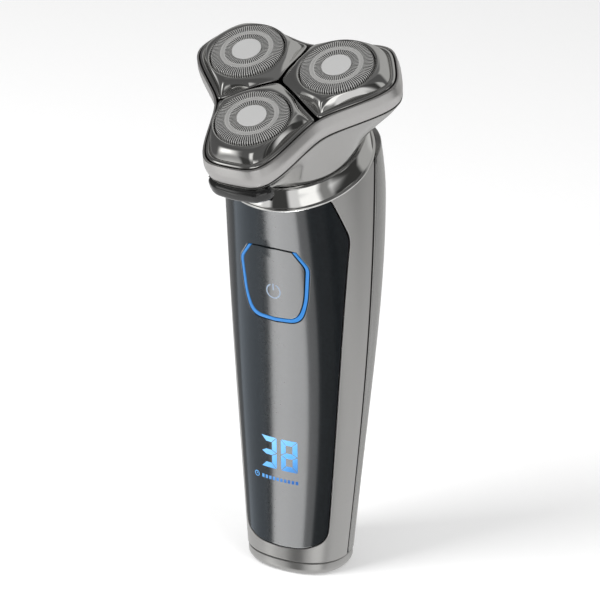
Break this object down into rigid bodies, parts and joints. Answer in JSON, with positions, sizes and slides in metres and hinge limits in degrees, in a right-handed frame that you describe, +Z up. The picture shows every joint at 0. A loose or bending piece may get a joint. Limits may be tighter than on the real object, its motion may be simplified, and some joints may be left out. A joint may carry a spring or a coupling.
{
  "type": "electric shaver",
  "caption": "Cordless rotary shaver: tapered handle with front panel and rear cover, tilted lobed head that flips open, floating shaving caps over turning cutters.",
  "frame": {"origin": "centre of the flat base face the shaver stands on", "axes": "+Z up along the handle, -Y to the front with the panel and the display, +X to the right as seen from the front"},
  "size_m": [0.066, 0.0703, 0.1701],
  "materials": {
    "satin_silver": "satin",
    "grey_gloss": "gloss",
    "black_gloss": "gloss",
    "chrome": "polished",
    "steel": "brushed",
    "satin_steel": "satin",
    "light_guide": "gloss",
    "dark_plastic": "matte",
    "pale_plastic": "matte",
    "rubber": "matte",
    "board": "satin",
    "cell_wrap": "gloss",
    "brass": "satin"
  },
  "bodies": {
    "handle": {"side_frame": "satin_silver", "front_panel": "black_gloss", "rear_cover": "grey_gloss", "base_cap": "satin_silver", "button_light_guide": "light_guide", "charging_socket": "steel", "inner_chassis": "dark_plastic", "battery_cell": "cell_wrap", "battery_tab_top": "steel", "main_board": "board", "display_module": "dark_plastic", "power_switch": "steel", "board_screw_1": "steel", "board_screw_2": "steel", "board_screw_3": "steel", "board_screw_4": "steel", "neck_ring": "chrome", "head_base": "grey_gloss", "neck_seal": "rubber", "motor_body": "steel", "motor_mount": "dark_plastic", "gear_plate": "dark_plastic", "hinge_pin": "steel"},
    "power_button": {"power_button": "black_gloss"},
    "release_button": {"head_release_button": "black_gloss"},
    "motor_rotor": {"motor_shaft": "steel", "motor_pinion": "brass"},
    "cover": {"head_cover": "satin_silver", "retaining_frame": "dark_plastic"},
    "knob": {"retaining_knob": "dark_plastic"},
    "drive_front": {"drive_gear_front": "pale_plastic", "drive_spindle_front": "steel"},
    "unit_front": {"petal_frame_front": "chrome", "shaving_cap_front": "steel", "cap_disc_front": "satin_steel"},
    "cutter_front": {"cutter_blades_front": "steel", "cutter_hub_front": "dark_plastic"},
    "drive_right": {"drive_gear_right": "pale_plastic", "drive_spindle_right": "steel"},
    "unit_right": {"petal_frame_right": "chrome", "shaving_cap_right": "steel", "cap_disc_right": "satin_steel"},
    "cutter_right": {"cutter_blades_right": "steel", "cutter_hub_right": "dark_plastic"},
    "drive_left": {"drive_gear_left": "pale_plastic", "drive_spindle_left": "steel"},
    "unit_left": {"petal_frame_left": "chrome", "shaving_cap_left": "steel", "cap_disc_left": "satin_steel"},
    "cutter_left": {"cutter_blades_left": "steel", "cutter_hub_left": "dark_plastic"}
  },
  "joints": [
    {"name": "power_press", "type": "hinge", "parent": "handle", "child": "power_button", "pos_m": [0, -0.02061, 0.1099], "axis": [1, 0, 0], "range_deg": [0, 1.2], "stiffness_Nm_per_rad": 1},
    {"name": "release_press", "type": "slide", "parent": "handle", "child": "release_button", "axis": [0, 0.8988, 0.4384], "range_m": [0, 0.0013], "stiffness_N_per_m": 900},
    {"name": "motor_spin", "type": "hinge", "parent": "handle", "child": "motor_rotor", "pos_m": [0, -0.00455, 0.13444], "axis": [0, -0.4384, 0.8988], "continuous": true},
    {"name": "cover_flip", "type": "hinge", "parent": "handle", "child": "cover", "pos_m": [0, 0.01159, 0.16066], "axis": [-1, 0, 0], "range_deg": [0, 100]},
    {"name": "knob_turn", "type": "hinge", "parent": "cover", "child": "knob", "pos_m": [0, -0.01332, 0.15241], "axis": [0, -0.4384, 0.8988], "range_deg": [0, 60]},
    {"name": "drive_spin_front", "type": "hinge", "parent": "handle", "child": "drive_front", "pos_m": [0, -0.02692, 0.14133], "axis": [0, -0.4384, 0.8988], "continuous": true},
    {"name": "unit_tilt_front", "type": "hinge", "parent": "cover", "child": "unit_front", "pos_m": [0, -0.03087, 0.14941], "axis": [1, 0, 0], "range_deg": [-4, 4], "stiffness_Nm_per_rad": 0.06},
    {"name": "cutter_spin_front", "type": "hinge", "parent": "unit_front", "child": "cutter_front", "pos_m": [0, -0.03175, 0.15121], "axis": [0, -0.4384, 0.8988], "continuous": true},
    {"name": "drive_spin_right", "type": "hinge", "parent": "handle", "child": "drive_right", "pos_m": [0.0148, -0.00388, 0.15256], "axis": [0, -0.4384, 0.8988], "continuous": true},
    {"name": "unit_tilt_right", "type": "hinge", "parent": "cover", "child": "unit_right", "pos_m": [0.0148, -0.00783, 0.16065], "axis": [-0.5, 0.7784, 0.3796], "range_deg": [-4, 4], "stiffness_Nm_per_rad": 0.06},
    {"name": "cutter_spin_right", "type": "hinge", "parent": "unit_right", "child": "cutter_right", "pos_m": [0.0148, -0.0087, 0.16245], "axis": [0, -0.4384, 0.8988], "continuous": true},
    {"name": "drive_spin_left", "type": "hinge", "parent": "handle", "child": "drive_left", "pos_m": [-0.0148, -0.00388, 0.15256], "axis": [0, -0.4384, 0.8988], "continuous": true},
    {"name": "unit_tilt_left", "type": "hinge", "parent": "cover", "child": "unit_left", "pos_m": [-0.0148, -0.00783, 0.16065], "axis": [-0.5, -0.7784, -0.3796], "range_deg": [-4, 4], "stiffness_Nm_per_rad": 0.06},
    {"name": "cutter_spin_left", "type": "hinge", "parent": "unit_left", "child": "cutter_left", "pos_m": [-0.0148, -0.0087, 0.16245], "axis": [0, -0.4384, 0.8988], "continuous": true}
  ],
  "couplings": [
    {"joint": "drive_spin_front", "follows": "motor_spin", "ratio": -0.66667},
    {"joint": "cutter_spin_front", "follows": "motor_spin", "ratio": -0.66667},
    {"joint": "drive_spin_right", "follows": "motor_spin", "ratio": -0.66667},
    {"joint": "cutter_spin_right", "follows": "motor_spin", "ratio": -0.66667},
    {"joint": "drive_spin_left", "follows": "motor_spin", "ratio": -0.66667},
    {"joint": "cutter_spin_left", "follows": "motor_spin", "ratio": -0.66667}
  ]
}
